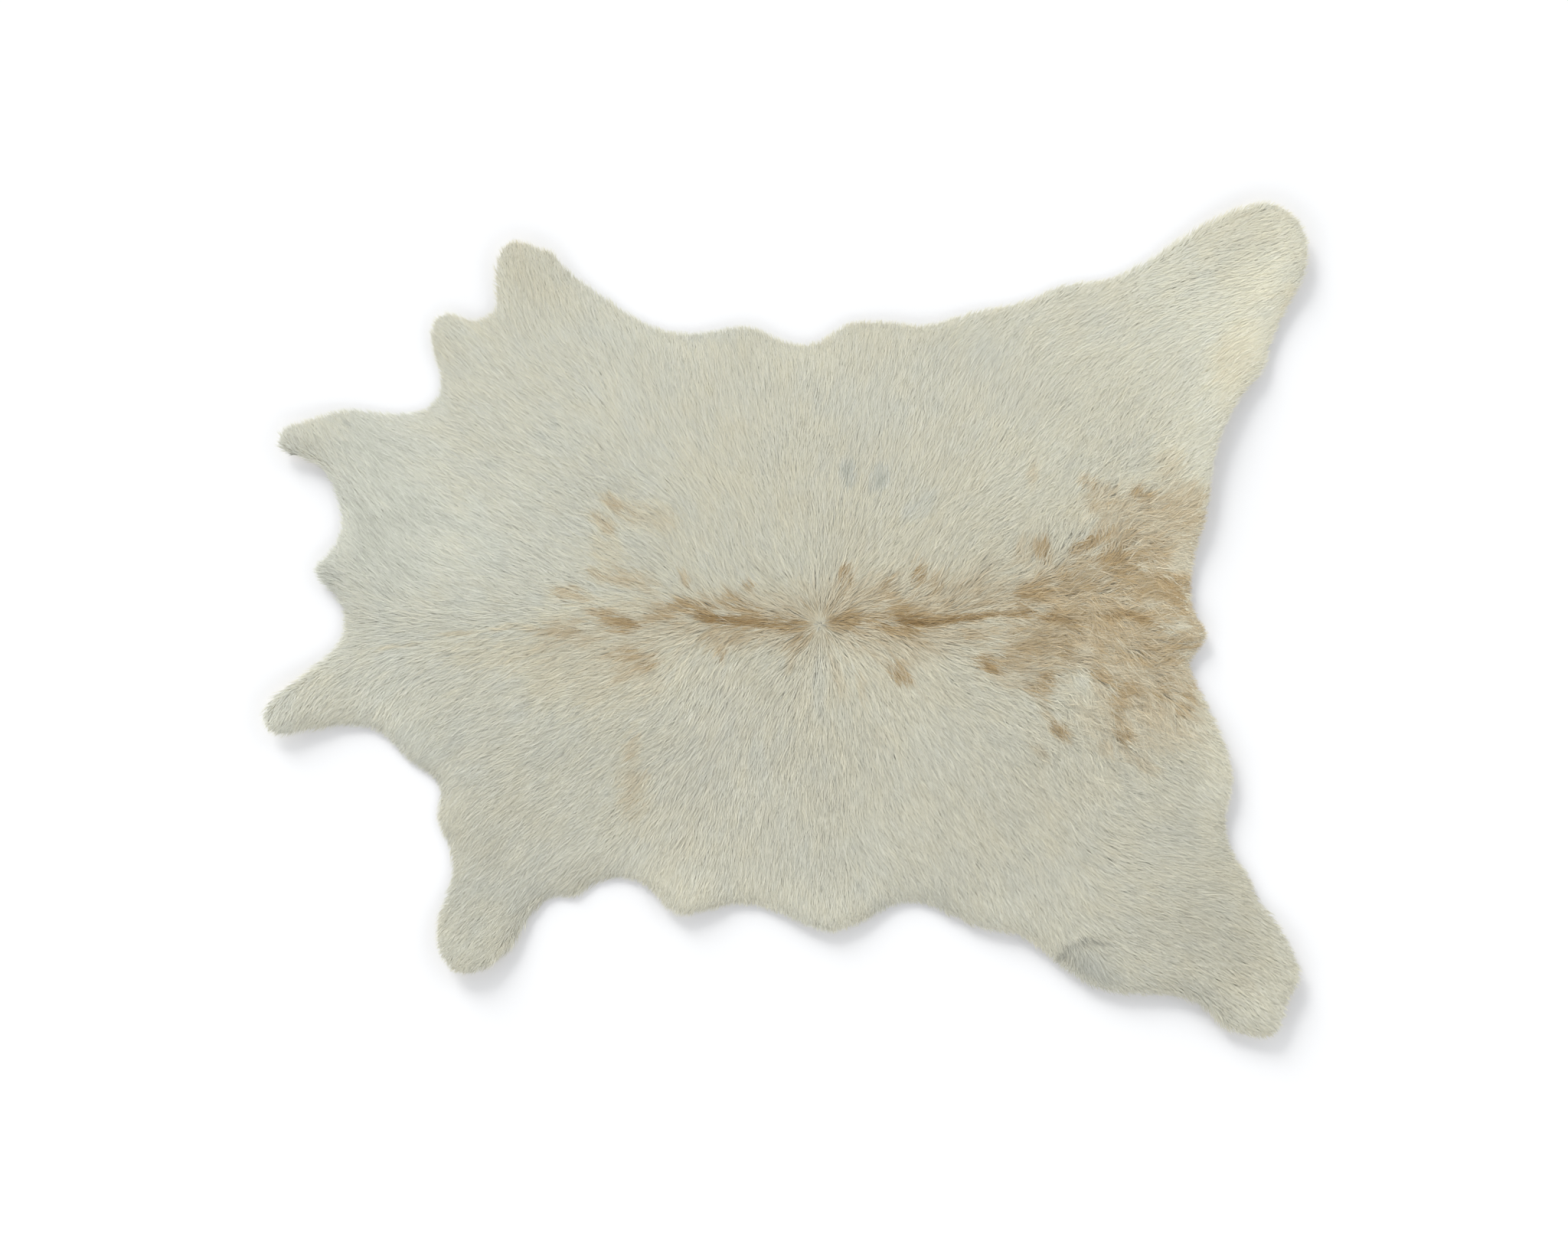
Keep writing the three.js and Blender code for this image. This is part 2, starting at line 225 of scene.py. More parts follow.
# Tan and grey markings, as feathered spots: depth is how far each goes from the coat's own tone
Mark = namedtuple("Mark", "place x y along across turn tone depth")
MARKS = [Mark(*row) for row in (
    ("along the spine before the whorl", -85, 0, 150, 36, 0, 0.72, 0.5),
    ("along the spine behind the whorl", 100, 2, 115, 48, 0, 0.75, 0.64),
    ("over the withers", -195, -45, 95, 62, 0, 0.68, 0.5),
    ("over the loins", 210, 10, 80, 46, 0, 0.72, 0.25),
    ("upper rump", 338, 24, 120, 46, 0, 0.81, 0.8),
    ("lower rump", 322, -20, 112, 36, 0, 0.81, 0.75),
    ("lower buttock", 388, -62, 70, 54, -18, 0.79, 0.67),
    ("lower thigh", 370, -106, 80, 44, -12, 0.73, 0.5),
    ("upper buttock", 380, 94, 70, 50, -8, 0.78, 0.66),
    ("upper buttock edge", 420, 122, 29, 26, 0, 0.78, 0.6),
    ("lower loin", 250, -50, 50, 26, 0, 0.8, 0.6),
    ("streak, darkest part", -58, -1, 21, 8.4, -8, 1, 1),
    ("streak, far bend", -86, 5, 19, 9, -28, 0.97, 0.97),
    ("streak, near part", -34, -4, 28, 8.4, -3, 0.96, 0.93),
    ("streak, near end", 2, -7, 19, 10, -22, 0.91, 0.82),
    ("streak, by the whorl", 14, -2, 11, 6.2, 14, 0.91, 0.66),
    ("fringe over the far bend", -96, 14, 32, 10, -6, 0.85, 0.75),
    ("fringe, far end", -120, 9, 24, 9, 10, 0.85, 0.7),
    ("fringe, faint end", -138, 3, 20, 8, 20, 0.79, 0.55),
    ("fringe over the near part", -44, 12, 29, 9, -24, 0.86, 0.79),
    ("fringe tuft", -52, 23, 11, 8, -60, 0.81, 0.6),
    ("second fringe tuft", -79, 21, 11, 6, -30, 0.82, 0.6),
    ("fringe below the streak", -58, -13, 46, 10, -4, 0.8, 0.6),
    ("wash below the streak", -60, -24, 36, 9, 0, 0.77, 0.45),
    ("faint line before the streak", -126, -6, 29, 6, 0, 0.78, 0.55),
    ("spot above the streak", -38, 34, 5, 8, -30, 0.89, 0.69),
    ("second spot above the streak", -104, 43, 6, 12, 30, 0.82, 0.63),
    ("spot below the streak", -67, -38, 6, 12, 24, 0.84, 0.63),
    ("crest by the withers", -171, -4, 22, 10, -6, 0.9, 0.86),
    ("crest, upper tuft", -189, 6, 15, 8, -20, 0.84, 0.7),
    ("crest, far tuft", -198, -3, 20, 6, 0, 0.79, 0.55),
    ("crest patch", -238, -12, 22, 12, 8, 0.8, 0.6),
    ("crest patch end", -222, -18, 28, 8, -8, 0.78, 0.45),
    ("crest, lower line", -252, -28, 18, 5, 28, 0.77, 0.45),
    ("crest, upper patch", -222, 26, 24, 11, -5, 0.8, 0.68),
    ("crest line, near part", -262, -10, 24, 5, -10, 0.8, 0.45),
    ("crest line, wavy part", -296, -9, 20, 4, 12, 0.8, 0.45),
    ("crest line, far part", -336, -14, 26, 3.4, 4, 0.82, 0.5),
    ("crest line, faint end", -402, -27, 34, 3, 8, 0.74, 0.4),
    ("wash below the crest", -300, -34, 60, 22, 0, 0.62, 0.5),
    ("upper withers band", -166, 42, 36, 13, -8, 0.78, 0.64),
    ("upper withers point", -201, 50, 9, 5.1, -30, 0.82, 0.5),
    ("lower withers patch", -167, -37, 24, 10, 0, 0.82, 0.66),
    ("lower withers end", -143, -46, 13, 9, 25, 0.83, 0.66),
    ("lower withers wash", -160, -52, 26, 10, 20, 0.79, 0.5),
    ("upper shoulder spot", -176, 121, 19, 9, -32, 0.85, 0.62),
    ("second upper shoulder spot", -189, 102, 18, 9, -28, 0.82, 0.58),
    ("upper shoulder wash", -185, 72, 18, 22, 10, 0.72, 0.4),
    ("upper rib wash", -140, 108, 34, 17, -12, 0.73, 0.45),
    ("lower shoulder patch", -158, -128, 9, 22, -8, 0.78, 0.5),
    ("lower shoulder, second patch", -158, -176, 20, 31, 0, 0.77, 0.5),
    ("behind the whorl", 61, -2, 21, 9, 8, 0.94, 1),
    ("behind the whorl, tuft", 66, 5, 9, 8, 60, 0.84, 0.6),
    ("behind the whorl, fringe", 60, -10, 24, 6, -8, 0.78, 0.55),
    ("between the dark parts", 86, 1, 22, 8, 4, 0.85, 0.82),
    ("parting, darkest part", 124, -2, 22, 9.5, 6, 1, 1.1),
    ("parting, near end", 108, -6, 15, 4.5, 8, 0.93, 0.79),
    ("parting, lower fringe", 124, -12, 22, 8, 0, 0.9, 0.92),
    ("parting, lower wash", 134, -19, 22, 7, -20, 0.78, 0.5),
    ("parting over the back", 152, -1, 27, 7.5, 2, 0.96, 1.05),
    ("parting, upper fringe", 150, 6, 22, 7, 0, 0.84, 0.6),
    ("parting, upper tuft", 122, 13, 13, 10, 38, 0.89, 0.82),
    ("parting, thin line", 185, 1, 28, 5, 8, 0.95, 0.86),
    ("parting over the loins", 232, 6, 48, 4.5, 2, 0.93, 0.85),
    ("parting before the rump", 275, 2, 28, 5, -10, 0.91, 0.79),
    ("parting, bent end", 302, -5, 14, 6, -40, 0.89, 0.69),
    ("rump line", 347, 5, 14, 4.5, 8, 0.93, 0.82),
    ("rump line end", 373, 0, 17, 4.5, -22, 0.9, 0.76),
    ("spot above the back", 64, 46, 8, 13, 0, 0.9, 0.74),
    ("second spot above the back", 140, 46, 7.5, 18, 0, 0.93, 0.78),
    ("between those spots", 109, 36, 7, 15, -15, 0.81, 0.63),
    ("below those spots", 103, 26, 15, 9, 0, 0.81, 0.6),
    ("behind those spots", 156, 38, 7, 18, 0, 0.77, 0.55),
    ("spot below the back", 120, -56, 17, 10, -48, 0.92, 0.72),
    ("its upper fringe", 121, -45, 13, 6, 8, 0.82, 0.6),
    ("below the whorl", 15, -22, 16, 12, 24, 0.8, 0.65),
    ("tail below the whorl", 6, -42, 5, 16, -4, 0.77, 0.45),
    ("lower rib streaks", 56, -58, 9, 22, 18, 0.74, 0.4),
    ("second lower rib streaks", 80, -70, 5, 18, 6, 0.77, 0.4),
    ("loin spot", 213, -48, 15, 9, -52, 0.93, 0.82),
    ("loin spot tail", 233, -43, 22, 8, -8, 0.83, 0.6),
    ("loin streak", 196, -14, 20, 6, -20, 0.78, 0.6),
    ("upper loin wash", 202, 32, 27, 18, 0, 0.77, 0.45),
    ("upper loin streak", 186, 16, 32, 9, 8, 0.79, 0.6),
    ("upper loin tuft", 160, 40, 7, 10, 0, 0.8, 0.5),
    ("upper loin patch", 256, 28, 20, 15, 24, 0.88, 0.72),
    ("upper hip spot", 269, 74, 9, 15, 25, 0.89, 0.76),
    ("upper hip shade", 253, 72, 15, 17, 0, 0.79, 0.5),
    ("upper hip, fringe", 288, 47, 20, 9, 8, 0.84, 0.66),
    ("upper hip, wash", 300, 34, 17, 12, 0, 0.83, 0.6),
    ("upper rump streaks", 316, 80, 27, 8, 22, 0.88, 0.76),
    ("upper rump streak end", 328, 87, 13, 6, 0, 0.88, 0.69),
    ("upper rump spot", 333, 63, 10, 10, 0, 0.9, 0.82),
    ("upper rump patch", 352, 57, 21, 17, -20, 0.89, 0.79),
    ("upper rump shade", 322, 60, 27, 12, 0, 0.82, 0.6),
    ("upper buttock streak", 386, 68, 24, 12, 10, 0.84, 0.66),
    ("upper buttock tuft", 361, 87, 16, 10, 28, 0.83, 0.63),
    ("second upper buttock tuft", 388, 88, 17, 8, 10, 0.8, 0.5),
    ("dark patch by the edge", 406, 32, 23, 15, -34, 0.9, 0.79),
    ("below that patch", 414, 18, 15, 12, -30, 0.88, 0.66),
    ("before that patch", 374, 32, 24, 13, -6, 0.85, 0.63),
    ("pale tuft on the rump", 379, 15, 9, 5, 0, 0.56, 0.6),
    ("pale edge", 413, 62, 12, 12, 0, 0.58, 0.6),
    ("upper thigh spot", 315, 145, 11, 6, -20, 0.85, 0.72),
    ("upper thigh shade", 329, 127, 18, 17, 30, 0.78, 0.6),
    ("second upper thigh spot", 372, 131, 13, 8, -14, 0.88, 0.76),
    ("below that spot", 378, 116, 6, 19, 0, 0.78, 0.5),
    ("upper thigh tail", 258, 152, 6, 15, 0, 0.77, 0.5),
    ("warm edge of the thigh", 402, 158, 18, 26, 0, 0.67, 0.6),
    ("lower rump spots", 265, -26, 20, 17, 0, 0.8, 0.6),
    ("lower rump tuft", 298, -26, 15, 14, 20, 0.84, 0.66),
    ("lower rump streak", 327, -14, 9, 20, 8, 0.82, 0.6),
    ("lower hip spot", 276, -61, 9, 8, -20, 0.89, 0.76),
    ("second lower hip spot", 266, -73, 11, 14, 10, 0.84, 0.66),
    ("third lower hip spot", 332, -62, 12, 12, 10, 0.88, 0.76),
    ("lower hip streak", 358, -73, 18, 8, -10, 0.86, 0.69),
    ("lower hip tuft", 348, -88, 13, 12, 30, 0.84, 0.66),
    ("lower buttock spot", 396, -71, 10, 14, 0, 0.88, 0.72),
    ("lower buttock edge", 421, -84, 11, 18, -24, 0.83, 0.66),
    ("dock spot", 417, -26, 12, 8, 0, 0.9, 0.76),
    ("dock", 420, -14, 27, 18, 0, 0.8, 0.66),
    ("behind the dock", 390, -38, 27, 15, 0, 0.82, 0.6),
    ("pale patch", 309, -66, 10, 11, -10, 0.42, 0.9),
    ("pale tuft", 311, -32, 10, 8, 0, 0.56, 0.6),
    ("lower thigh spot", 285, -113, 18, 8, -50, 0.88, 0.79),
    ("lower thigh spot, upper end", 272, -97, 6, 12, 15, 0.78, 0.55),
    ("second lower thigh spot", 351, -114, 9, 18, 18, 0.86, 0.66),
    ("its lower end", 358, -124, 8, 7, 30, 0.87, 0.63),
    ("lower thigh streak", 372, -150, 24, 10, -30, 0.73, 0.5),
    ("lower flank streak", 266, -138, 14, 6, -40, 0.76, 0.5),
    ("lower thigh tuft", 336, -137, 20, 9, -20, 0.74, 0.5),
    ("grey spot", 66, 152, 9, 16, 10, 0.1, 0.72),
    ("second grey spot", 98, 148, 14, 15, 20, 0.13, 0.66),
    ("grey wash", 140, 118, 24, 13, 40, 0.24, 0.5),
    ("upper arm grey spot", -239, 203, 6, 4, 0, 0.08, 0.75),
    ("upper arm grey wash", -252, 190, 12, 5, 0, 0.16, 0.4),
    ("grey strands by the whorl", 36, -70, 8, 34, 0, 0.24, 0.35),
    ("grey strands on the ribs", -30, -140, 8, 30, -8, 0.24, 0.3),
    ("star of the whorl", 36, -9, 7, 18, 0, 0.46, 0.55),
    ("warm edge of the upper hind leg", 468, 272, 25, 50, -20, 0.6, 0.45),
    ("warm spot on that edge", 524, 338, 8, 15, -20, 0.64, 0.45),
)]

# The coat's tone and light before any shade or mark
BASE_TONE = 0.435
BASE_LIGHT = 0.75

# What is added at a strand's root, its two sides and its tip: roots lie in the dark, tips catch light
TONE_ALONG = np.array([0, -0.004, 0.004, 0])
LIGHT_ALONG = np.array([-0.30, -0.03, -0.03, 0.07])
EYE_ALONG = np.array([0.9, 0.7, 0.7, 0.6])

COAT_PIECES = ("coat_neck", "coat_shoulders", "coat_back", "coat_loins", "coat_rump")
MOST_TRIANGLES = 200_000  # in one piece of the coat
BARE_EDGE = 5.2 * MM  # the sheet's outermost part is hair tips, with no roots in it
SPAN = 1.3  # metres, a square that holds the whole hide with its middle at the origin
LOCK_SHAPE = 4.5  # how many times longer than wide a lock is
CELLS = 3  # how many cells away a strand's lock can be


def length_setting(name, description, usual, least, most):
    """A setting for a length, given in millimetres."""
    return FloatProperty(
        name=name, description=description, default=usual * MM,
        min=least * MM, max=most * MM, unit="LENGTH")


def colour_setting(name, description, hex_colour):
    """A setting for a colour."""
    return FloatVectorProperty(
        name=name, description=description, default=linear(hex_colour),
        size=3, subtype="COLOR", min=0, max=1)


class LeatherSettings(bpy.types.PropertyGroup):
    """Sizes and colours of the tanned skin."""

    thickness: length_setting("Thickness", "Thickness of the tanned skin", 1.7, 1, 3)
    cockle: length_setting("Cockle", "Height of the low waves on the flesh side", 0.35, 0, 1)
    flesh_colour: colour_setting("Flesh side", "Colour of the napped flesh side", "#d9cdb6")
    grain_colour: colour_setting("Hair side", "Colour of the skin between the hair roots", "#d8d3bd")


class CoatSettings(bpy.types.PropertyGroup):
    """Sizes and colours of the hair."""

    seed: IntProperty(
        name="Seed", description="Another number gives another coat of the same kind", default=31)
    spacing: length_setting(
        "Spacing", "From one root to the next. A strand stands for some tens of hairs", 1.165, 0.9, 5)
    width: length_setting("Strand width", "Width of a strand where it is widest", 0.64, 0.2, 2)
    length: length_setting("Strand length", "Length of a strand on the back", 22, 5, 40)
    lock: length_setting("Lock width", "Width of the pointed locks that the strands lie in", 2.2, 1, 20)
    grey: colour_setting("Grey", "Colour of the grey strands", "#a0a492")
    cool: colour_setting("Cool cream", "Colour of the neck", "#dddfd3")
    cream: colour_setting("Cream", "Colour of most of the coat", "#e4e1cc")
    warm: colour_setting("Warm cream", "Colour of the faint washes", "#dad1b7")
    tan: colour_setting("Tan", "Colour of the markings", "#c3ac82")
    brown: colour_setting("Brown", "Colour of the parting along the back", "#95784a")


class StageSettings(bpy.types.PropertyGroup):
    """The camera above the rug, and the studio's light."""

    height: FloatProperty(
        name="Camera height", description="Height of the camera over the floor",
        default=3.0, unit="LENGTH")
    field: FloatProperty(
        name="Field width", description="Width of floor that the camera sees",
        default=1.6384, unit="LENGTH")
    middle: FloatVectorProperty(
        name="Aim", description="Place on the floor in the middle of the picture",
        default=(-0.00085, -0.0075), size=2, subtype="XYZ_LENGTH", unit="LENGTH")
    key: FloatProperty(
        name="Key light", description="Strength of the large soft light from the upper left",
        default=3.6, min=0)
    walls: FloatProperty(
        name="Walls", description="Brightness of the pale walls all round", default=2.8, min=0)
    ceiling: FloatProperty(
        name="Ceiling", description="Brightness of the ceiling", default=0.44, min=0)


class HideRugSettings(bpy.types.PropertyGroup):
    """All the rug's settings."""

    leather: PointerProperty(type=LeatherSettings)
    coat: PointerProperty(type=CoatSettings)
    stage: PointerProperty(type=StageSettings)


def smooth(value):
    """A soft step from 0 to 1."""
    share = np.clip(value, 0, 1)
    return share * share * (3 - 2 * share)


def between(grid, i, j, a, b):
    """A grid's values at the shares a and b of the way from its points i, j to the next ones."""
    next_i = (i + 1) % grid.shape[0]
    next_j = (j + 1) % grid.shape[1]
    near = grid[i, j] * (1 - a) + grid[next_i, j] * a
    far = grid[i, next_j] * (1 - a) + grid[next_i, next_j] * a
    return near * (1 - b) + far * b


def noise(x, y, size, seed):
    """Smooth noise from -1 to 1, its swells about one size wide."""
    table = np.random.default_rng(seed).uniform(-1, 1, (128, 128))
    u = x / size + 512
    v = y / size + 512
    i = np.floor(u).astype(int)
    j = np.floor(v).astype(int)
    return between(table, i % 128, j % 128, smooth(u - i), smooth(v - j))


def spot(x, y, place):
    """How much of an oval place reaches each point, from 0 to 1."""
    turn = math.radians(place.turn)
    along = (x - place.x) * math.cos(turn) + (y - place.y) * math.sin(turn)
    across = (y - place.y) * math.cos(turn) - (x - place.x) * math.sin(turn)
    return np.exp(-((along / place.along) ** 2 + (across / place.across) ** 2))


def drawn_out(x, y, flow_x, flow_y, width, seed):
    """Smooth noise in long thin streaks along the flow, from about -1 to 1."""
    total = np.zeros(x.shape)
    for step in np.linspace(-5, 5, 9):
        total += noise(x + step * width * flow_x, y + step * width * flow_y, width, seed)
    return total / 3


def reached(x, y, place):
    """How much of a round place reaches each point, from 0 to 1."""
    return np.exp(-((x - place.x) ** 2 + (y - place.y) ** 2) / place.reach ** 2)


def placed(table, x, y):
    """How much a table's places amount to at points in millimetres, from 0 to 1."""
    amount = np.zeros(x.shape)
    for place in table:
        amount += place.amount * reached(x, y, place)
    return np.clip(amount, 0, 1)


def brushed(x, y):
    """The coat's direction at points in millimetres, in radians."""
    away_x = x - WHORL[0]
    away_y = y - WHORL[1]
    far = np.hypot(away_x, away_y) + 0.01
    flow_x = 0.30 * away_x / far
    flow_y = 0.30 * away_y / far
    for stroke in BRUSHING:
        weight = reached(x, y, stroke)
        flow_x += weight * math.cos(math.radians(stroke.heading))
        flow_y += weight * math.sin(math.radians(stroke.heading))
    swing = 4 * noise(x, y, 60, 11) + 5 * noise(x, y, 24, 12)
    swing += 36 * placed(CURLS, x, y) * (0.8 * noise(x, y, 19, 13) + 0.6 * noise(x, y, 10, 14))
    swing *= smooth(far / 40)
    return np.arctan2(flow_y, flow_x) + np.radians(swing)


class HideMap:
    """The CAD sheet on an even grid: distance in from the edge, heights, and the coat's direction."""

    STEP = 3 * MM
    MARGIN = 15 * MM  # of the grid round the sheet
    CARRIED = 9 * MM  # how far past the edge heights are known
    EDGE_DROP = 1.6 * MM  # from the level of the edge's hair tips down to that of its skin

    def __init__(self, node):
        """Reads the sheet's own mesh and leaves it as it is."""
        self.mesh = bmesh.new()
        self.mesh.from_mesh(node.data)
        bmesh.ops.remove_doubles(self.mesh, verts=self.mesh.verts, dist=0.001 * MM)
        self.mesh.normal_update()
        self.rim = self.find_rim()
        low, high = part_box(node.name)
        self.start = np.array([low.x - self.MARGIN, low.y - self.MARGIN])
        self.count = [int((high[k] - low[k] + 2 * self.MARGIN) / self.STEP) + 2 for k in (0, 1)]
        x = self.start[0] + np.arange(self.count[0]) * self.STEP
        y = self.start[1] + np.arange(self.count[1]) * self.STEP
        self.x, self.y = np.meshgrid(x, y, indexing="ij")
        self.depth = self.measure_depth()
        self.under, self.top = self.measure_heights()
        inward = np.gradient(self.depth, self.STEP)
        size = np.hypot(inward[0], inward[1]) + 1e-6
        self.out_x = -inward[0] / size
        self.out_y = -inward[1] / size
        heading = brushed(self.x / MM, self.y / MM)
        self.flow_x = np.cos(heading)
        self.flow_y = np.sin(heading)

    def find_rim(self):
        """The ring of hair tips, which parts the faces that look up from those that look down."""
        ring = {}
        for edge in self.mesh.edges:
            if len(edge.link_faces) == 2:
                first, second = (face.normal.z for face in edge.link_faces)
                if first * second < 0:
                    a, b = edge.verts
                    ring.setdefault(a, []).append(b)
                    ring.setdefault(b, []).append(a)
        start = next(iter(ring))
        order = [start, ring[start][0]]
        while len(order) < len(ring):
            a, b = ring[order[-1]]
            order.append(b if a is order[-2] else a)
        return order

    def measure_depth(self):
        """How far each point lies in from the edge, outside it as a negative number."""
        ring = np.array([vertex.co[:2] for vertex in self.rim])
        after = np.roll(ring, -1, axis=0)
        side = after - ring
        points = np.stack([self.x.ravel(), self.y.ravel()], axis=1)
        depth = np.empty(len(points))
        for first in range(0, len(points), 4096):
            block = points[first:first + 4096, None, :]
            share = np.clip(((block - ring) * side).sum(2) / (side * side).sum(1), 0, 1)
            away = block - ring - share[:, :, None] * side
            nearest = np.sqrt((away * away).sum(2).min(1))
            above = (ring[:, 1] > block[:, :, 1]) != (after[:, 1] > block[:, :, 1])
            rise = np.where(side[:, 1] == 0, 1e-12, side[:, 1])
            crossing = ring[:, 0] + (block[:, :, 1] - ring[:, 1]) / rise * side[:, 0]
            inside = (above & (block[:, :, 0] < crossing)).sum(1) % 2 == 1
            depth[first:first + 4096] = np.where(inside, nearest, -nearest)
        return depth.reshape(self.x.shape)

    def measure_heights(self):
        """Heights of the sheet's lower and upper faces, carried a little way past the edge."""
        tree = BVHTree.FromBMesh(self.mesh)
        under = np.zeros(self.x.shape)
        top = np.zeros(self.x.shape)
        for i, j in np.argwhere(self.depth > -self.CARRIED):
            x, y = self.x[i, j], self.y[i, j]
            hit = tree.ray_cast(Vector((x, y, 1)), Vector((0, 0, -1)))[0]
            if hit is None:
                tip = tree.find_nearest(Vector((x, y, 2 * MM)))[0]
                under[i, j] = max(0, tip.z - self.EDGE_DROP)
                top[i, j] = tip.z
            else:
                top[i, j] = hit.z
                under[i, j] = tree.ray_cast(Vector((x, y, -1)), Vector((0, 0, 1)))[0].z
        return under, top

    def at(self, grid, x, y):
        """A grid's value at any points."""
        u = np.clip((x - self.start[0]) / self.STEP, 0, self.count[0] - 1.001)
        v = np.clip((y - self.start[1]) / self.STEP, 0, self.count[1] - 1.001)
        i = u.astype(int)
        j = v.astype(int)
        return between(grid, i, j, u - i, v - j)

    def flow(self, x, y):
        """The coat's direction at any points, as a unit step along x and y."""
        step_x = self.at(self.flow_x, x, y)
        step_y = self.at(self.flow_y, x, y)
        size = np.hypot(step_x, step_y) + 1e-9
        return step_x / size, step_y / size


@functools.cache
def hide_map():
    """The map of the CAD sheet, made once."""
    return HideMap(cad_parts[SHEET])


def add_node(tree, kind, inputs=None, **settings):
    """A new node with values or links on its inputs, and its settings."""
    node = tree.nodes.new(kind)
    for name, value in settings.items():
        setattr(node, name, value)
    for name, value in (inputs or {}).items():
        if isinstance(value, bpy.types.NodeSocket):
            tree.links.new(value, node.inputs[name])
        else:
            node.inputs[name].default_value = value
    return node


def new_material(name):
    """An empty node material: the material, its node tree and its output node."""
    material = bpy.data.materials.new(name)
    material.use_nodes = True
    material.node_tree.nodes.clear()
    return material, material.node_tree, add_node(material.node_tree, "ShaderNodeOutputMaterial")


def add_surface(tree, output, inputs):
    """The material's surface, made from its inputs."""
    shader = add_node(tree, "ShaderNodeBsdfPrincipled", inputs)
    tree.links.new(shader.outputs["BSDF"], output.inputs["Surface"])


def brushed_hair_material(coat):
    """Calf hair, washed in the tannery and brushed flat: pale strands with a soft silky light."""
    material, tree, output = new_material("calf_hair_brushed")
    strand = add_node(tree, "ShaderNodeAttribute", attribute_name="strand_tone_and_painted_light")
    parts = add_node(tree, "ShaderNodeSeparateXYZ", {"Vector": strand.outputs["Vector"]})
    ramp = add_node(tree, "ShaderNodeValToRGB", {"Fac": parts.outputs["X"]})
    stops = (
        (0.0, coat.grey), (0.30, coat.cool), (0.50, coat.cream),
        (0.65, coat.warm), (0.85, coat.tan), (1.0, coat.brown))
    elements = ramp.color_ramp.elements
    while len(elements) < len(stops):
        elements.new(0.5)
    for element, (position, colour) in zip(elements, stops):
        element.position = position
        element.color = (*colour, 1)
    # Painted light and shade: each strand's light share, dark at the root and bright at the tip, scales
    # its colour
    light = add_node(tree, "ShaderNodeMapRange", {
        "Value": parts.outputs["Y"], "To Min": 0.25, "To Max": 1.22})
    shaded = add_node(tree, "ShaderNodeVectorMath", {"Scale": light.outputs["Result"]}, operation="SCALE")
    tree.links.new(ramp.outputs["Color"], shaded.inputs[0])
    add_surface(tree, output, {
        "Base Color": shaded.outputs["Vector"],
        "Roughness": 0.55,
        "Specular IOR Level": 0.35,
        "Sheen Weight": 0.15,
        "Sheen Roughness": 0.4,
    })
    return material


def shaved_flesh_material(leather):
    """Tanned calf leather, shaved on its flesh side: a dull nap with pale scuffs and a fibrous grain."""
    material, tree, output = new_material("tanned_calf_leather_shaved")
    place = add_node(tree, "ShaderNodeTexCoord")
    # Shaving marks run across the hide some 25 mm apart
    scuffs = add_node(tree, "ShaderNodeTexNoise", {
        "Vector": place.outputs["Object"], "Scale": 1 / (25 * MM), "Detail": 6.0, "Roughness": 0.6})
    # The nap's fibres are about 0.2 mm, drawn here as tufts of 0.8 mm so that they show
    nap = add_node(tree, "ShaderNodeTexNoise", {
        "Vector": place.outputs["Object"], "Scale": 1 / (0.8 * MM), "Detail": 3.0})
    dark = [channel * 0.72 for channel in leather.flesh_colour]
    tint = add_node(tree, "ShaderNodeMix", {
        "Factor": scuffs.outputs["Fac"], "A": (*dark, 1), "B": (*leather.flesh_colour, 1)},
        data_type="RGBA")
    relief = add_node(tree, "ShaderNodeMath", {
        0: scuffs.outputs["Fac"], 1: nap.outputs["Fac"]}, operation="ADD")
    bump = add_node(tree, "ShaderNodeBump", {
        "Height": relief.outputs["Value"], "Distance": 0.3 * MM, "Strength": 0.7})
    add_surface(tree, output, {
        "Base Color": tint.outputs["Result"],
        "Roughness": 0.92,
        "Specular IOR Level": 0.2,
        "Normal": bump.outputs["Normal"],
    })
    return material


def pored_skin_material(leather):
    """The same leather's hair side: smooth skin with the hair's pores, seen only where the coat parts."""
    material, tree, output = new_material("tanned_calf_leather_pored")
    place = add_node(tree, "ShaderNodeTexCoord")
    # Pores lie some 0.25 mm apart, drawn here 1 mm apart so that they show
    pores = add_node(tree, "ShaderNodeTexVoronoi", {
        "Vector": place.outputs["Object"], "Scale": 1 / (1 * MM)})
    dark = [channel * 0.8 for channel in leather.grain_colour]
    tint = add_node(tree, "ShaderNodeMix", {
        "Factor": pores.outputs["Distance"], "A": (*dark, 1), "B": (*leather.grain_colour, 1)},
        data_type="RGBA")
    add_surface(tree, output, {
        "Base Color": tint.outputs["Result"], "Roughness": 0.7, "Specular IOR Level": 0.3})
    return material


def plain_floor_material():
    """A sheet of white studio paper, rolled out: flat white with no grain."""
    material, tree, output = new_material("studio_paper_matt")
    add_surface(tree, output, {
        "Base Color": (*linear("#f4f5f6"), 1), "Roughness": 0.9, "Specular IOR Level": 0.1})
    return material


def link_object(name, mesh):
    """A new object in the scene for a mesh."""
    made = bpy.data.objects.new(name, mesh)
    bpy.context.scene.collection.objects.link(made)
    return made


